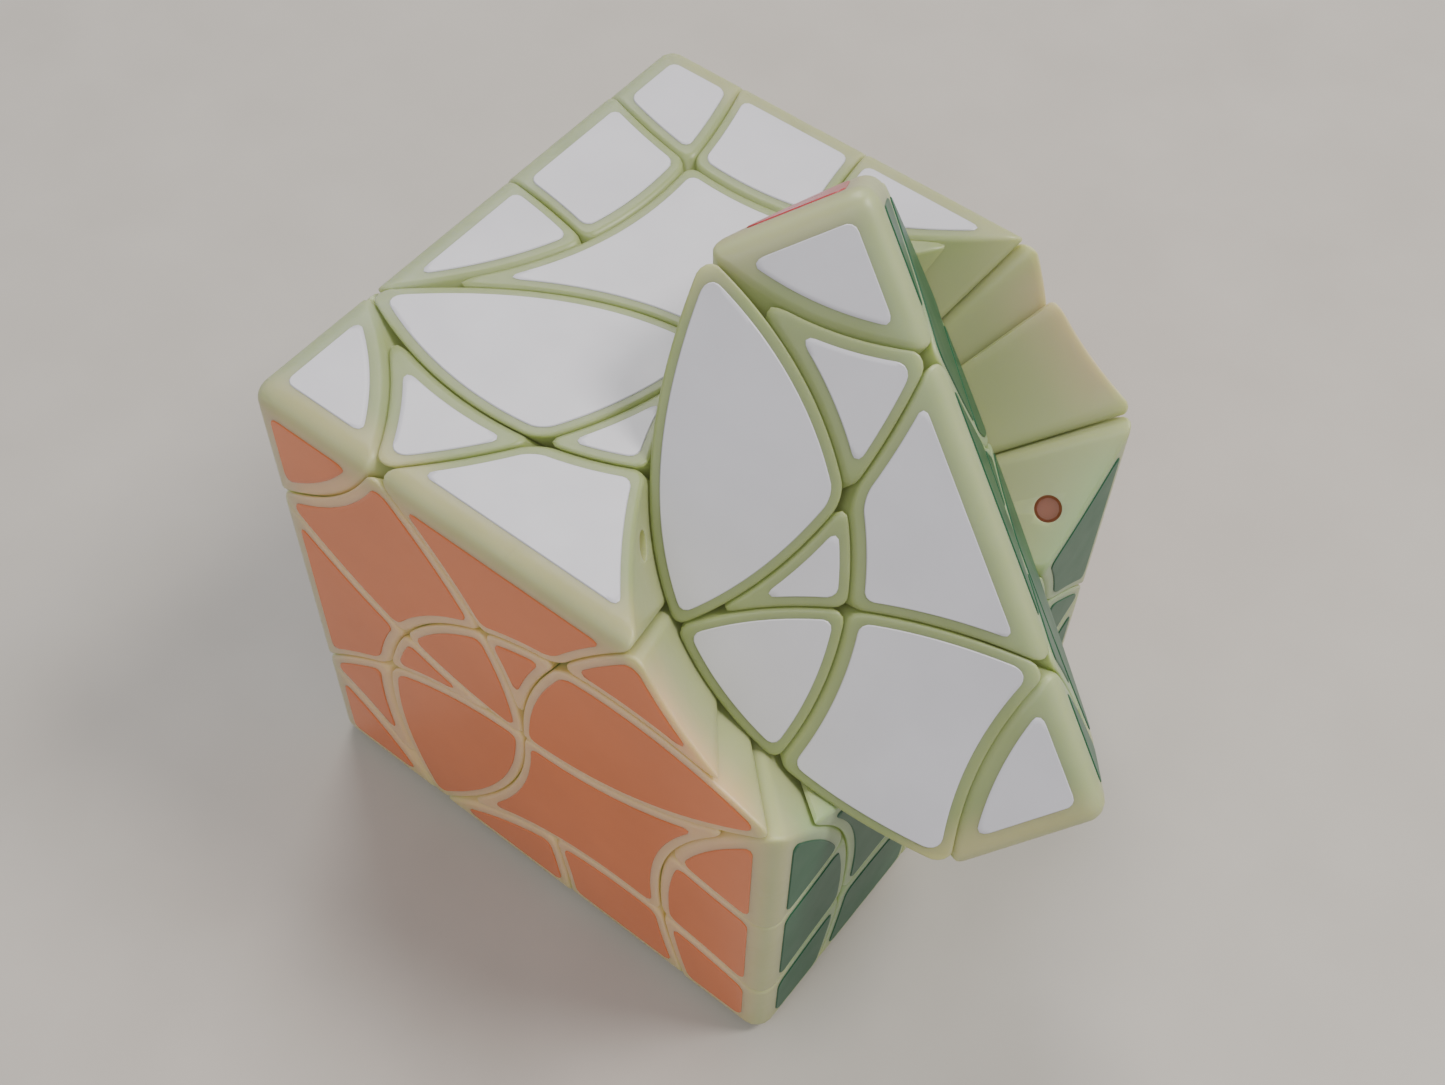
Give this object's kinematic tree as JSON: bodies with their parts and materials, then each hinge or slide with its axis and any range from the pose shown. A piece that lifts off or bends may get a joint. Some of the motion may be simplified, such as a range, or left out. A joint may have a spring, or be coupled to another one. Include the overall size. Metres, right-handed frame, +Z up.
{
  "type": "cube twisty puzzle",
  "caption": "Cube twisty puzzle with conical cuts on slanted axes, rounded edges and six sticker colours; one layer part-turned.",
  "frame": {"origin": "centre of the cube's bottom sticker plane, on the surface that the puzzle stands on", "axes": "+Z up through the white face, +X out of the green face, -Y out of the orange face; the part-turned layer's axis points along +X+Z"},
  "size_m": [0.0794, 0.0604, 0.0794],
  "materials": {
    "glow_plastic": "pale yellow-green translucent glow plastic, satin",
    "white_sticker": "white vinyl, satin",
    "yellow_sticker": "yellow vinyl, satin",
    "orange_sticker": "orange vinyl, satin",
    "red_sticker": "red vinyl, satin",
    "green_sticker": "dark green vinyl, satin",
    "blue_sticker": "blue vinyl, satin",
    "core_plastic": "black moulded plastic",
    "screw_steel": "plated steel"
  },
  "bodies": {
    "core_and_fixed": {"axle_screws": "screw_steel", "core_lower_half": "core_plastic", "core_upper_half": "core_plastic", "fixed_blue_stickers": "blue_sticker", "fixed_cube_corner": "glow_plastic", "fixed_green_stickers": "green_sticker", "fixed_orange_stickers": "orange_sticker", "fixed_petal": "glow_plastic", "fixed_pole_quad": "glow_plastic", "fixed_pole_triangle": "glow_plastic", "fixed_red_stickers": "red_sticker", "fixed_ring_centre": "glow_plastic", "fixed_ring_petal": "glow_plastic", "fixed_ring_triangle": "glow_plastic", "fixed_small_triangle": "glow_plastic", "fixed_star": "glow_plastic", "fixed_white_stickers": "white_sticker", "fixed_yellow_stickers": "yellow_sticker"},
    "turned_layer": {"turned_cube_corner": "glow_plastic", "turned_green_stickers": "green_sticker", "turned_orange_stickers": "orange_sticker", "turned_petal": "glow_plastic", "turned_red_stickers": "red_sticker", "turned_ring_centre": "glow_plastic", "turned_ring_corner": "glow_plastic", "turned_ring_petal": "glow_plastic", "turned_ring_triangle": "glow_plastic", "turned_small_triangle": "glow_plastic", "turned_white_stickers": "white_sticker"},
    "lower_layer": {"lower_blue_stickers": "blue_sticker", "lower_cube_corner": "glow_plastic", "lower_orange_stickers": "orange_sticker", "lower_petal": "glow_plastic", "lower_red_stickers": "red_sticker", "lower_ring_centre": "glow_plastic", "lower_ring_corner": "glow_plastic", "lower_ring_petal": "glow_plastic", "lower_ring_triangle": "glow_plastic", "lower_small_triangle": "glow_plastic", "lower_yellow_stickers": "yellow_sticker"},
    "back_layer": {"back_blue_stickers": "blue_sticker", "back_petal": "glow_plastic", "back_pole_corner": "glow_plastic", "back_pole_quad": "glow_plastic", "back_pole_triangle": "glow_plastic", "back_red_stickers": "red_sticker", "back_ring_corner": "glow_plastic", "back_small_triangle": "glow_plastic", "back_star": "glow_plastic", "back_white_stickers": "white_sticker"},
    "front_layer": {"front_green_stickers": "green_sticker", "front_orange_stickers": "orange_sticker", "front_petal": "glow_plastic", "front_pole_corner": "glow_plastic", "front_pole_quad": "glow_plastic", "front_pole_triangle": "glow_plastic", "front_ring_corner": "glow_plastic", "front_small_triangle": "glow_plastic", "front_star": "glow_plastic", "front_yellow_stickers": "yellow_sticker"}
  },
  "joints": [
    {"name": "turned_layer_turn", "type": "hinge", "parent": "core_and_fixed", "child": "turned_layer", "pos_m": [0, 0, 0.0302], "axis": [0.7071, 0, 0.7071], "continuous": true},
    {"name": "lower_layer_turn", "type": "hinge", "parent": "core_and_fixed", "child": "lower_layer", "pos_m": [0, 0, 0.0302], "axis": [-0.7071, 0, -0.7071], "continuous": true},
    {"name": "back_layer_turn", "type": "hinge", "parent": "core_and_fixed", "child": "back_layer", "pos_m": [0, 0, 0.0302], "axis": [-0.2357, 0.9428, 0.2357], "continuous": true},
    {"name": "front_layer_turn", "type": "hinge", "parent": "core_and_fixed", "child": "front_layer", "pos_m": [0, 0, 0.0302], "axis": [0.2357, -0.9428, -0.2357], "continuous": true}
  ]
}
